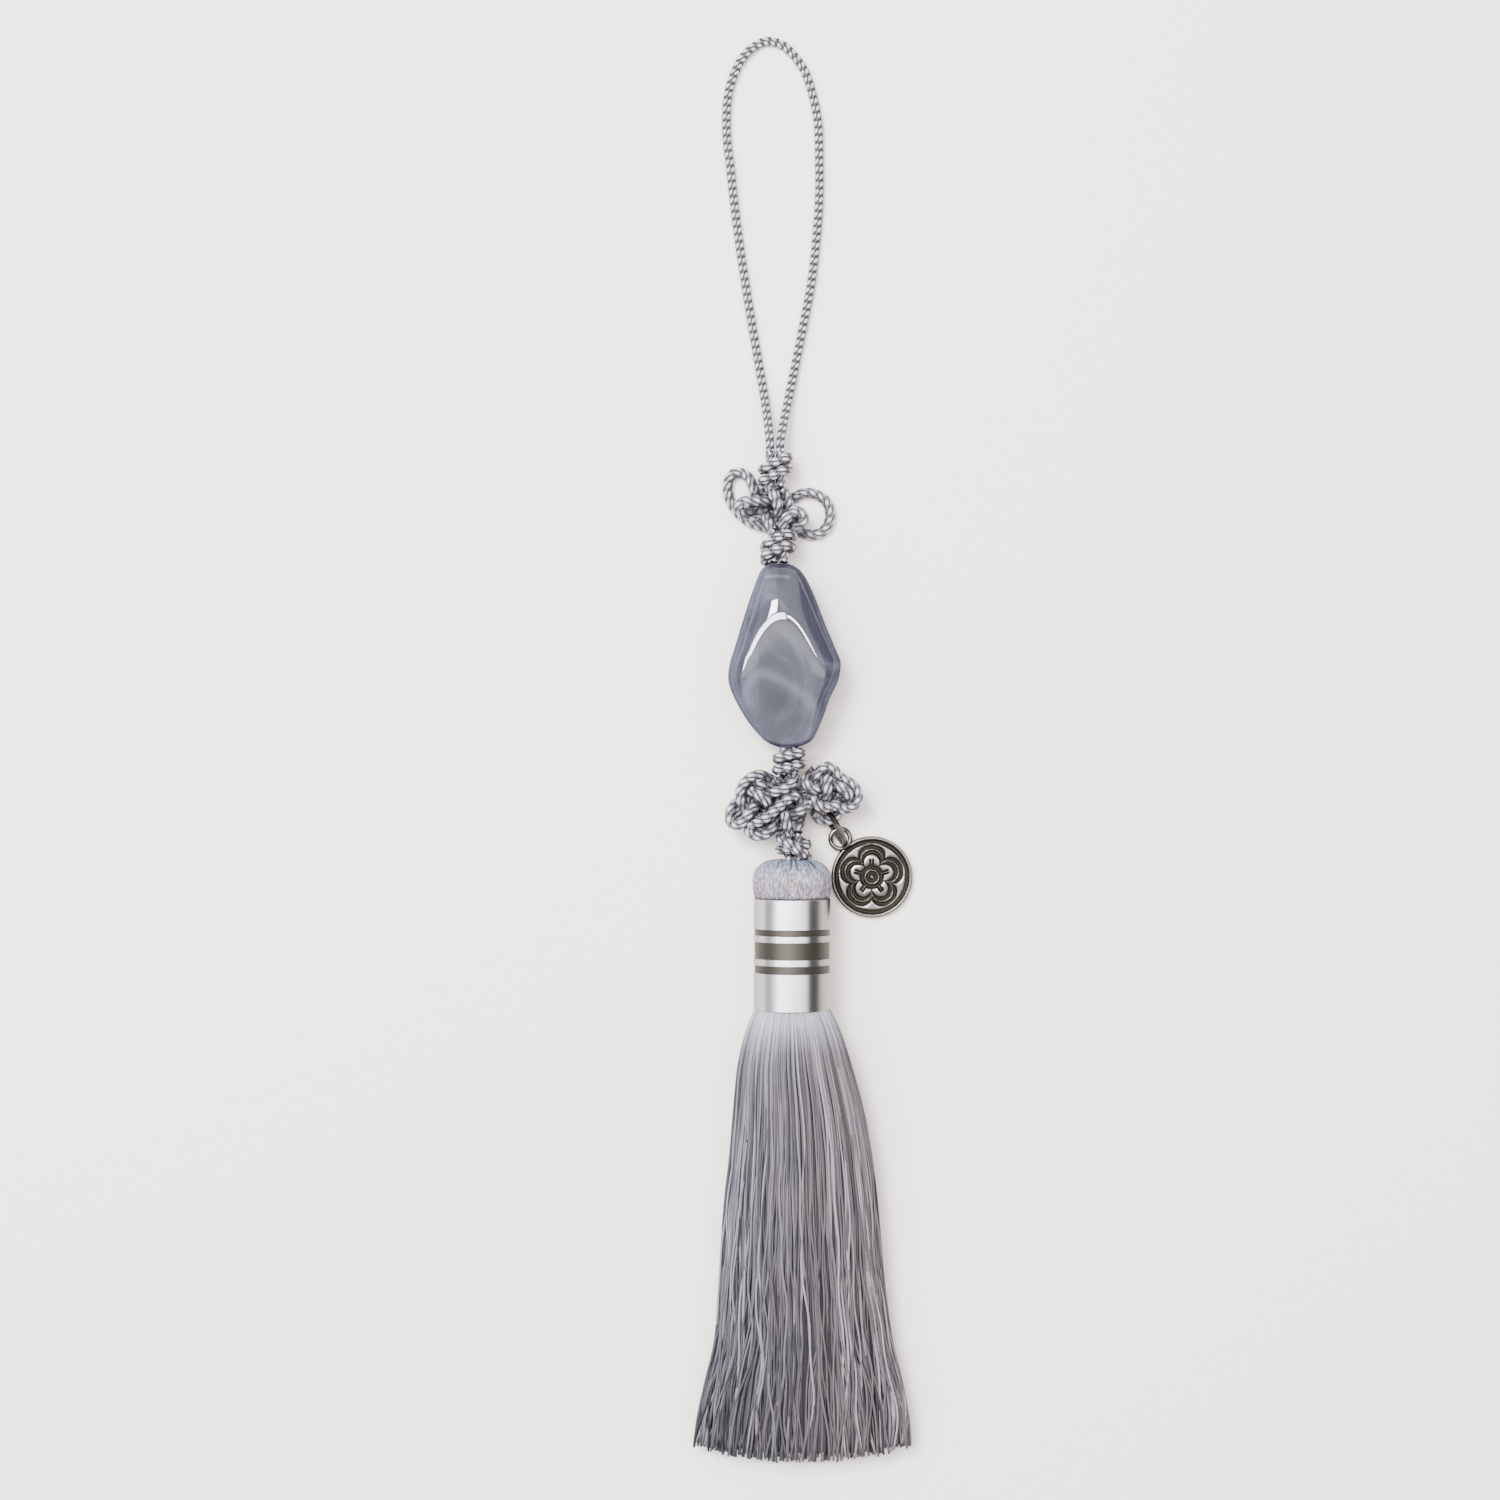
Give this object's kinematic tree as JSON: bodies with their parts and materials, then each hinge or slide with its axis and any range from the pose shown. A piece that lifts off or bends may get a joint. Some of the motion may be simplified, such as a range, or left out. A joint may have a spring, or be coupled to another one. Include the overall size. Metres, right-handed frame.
{
  "type": "norigae tassel ornament",
  "caption": "Korean hanging ornament: a loop of braided cord, woven knots, a large cloudy bead, a small round charm and a long thread tassel in a metal sleeve.",
  "frame": {"origin": "on the surface it lies on, under the middle of everything but the free loop of cord", "axes": "+X to the right, +Y up the ornament towards its loop, +Z away from the surface it lies on"},
  "size_m": [0.044, 0.2843, 0.0156],
  "materials": {
    "cord": "braided, slightly shiny",
    "bead": "cloudy and glossy",
    "ring_wire": "satin",
    "charm_metal": "dark in the hollows, bright on the edges",
    "head_thread": "silky",
    "sleeve_metal": "polished",
    "skirt_thread": "silky"
  },
  "bodies": {
    "root": {"hanging_loop": "cord", "top_collar_knot": "cord", "cloverleaf_knot": "cord", "middle_collar_knot": "cord", "bead": "bead", "bead_thread": "cord", "lower_collar_knot": "cord", "butterfly_knot": "cord", "bottom_collar_knot": "cord", "jump_ring": "ring_wire", "charm": "charm_metal", "tassel_head": "head_thread", "tassel_sleeve": "sleeve_metal", "tassel_skirt": "skirt_thread"}
  },
  "joints": []
}
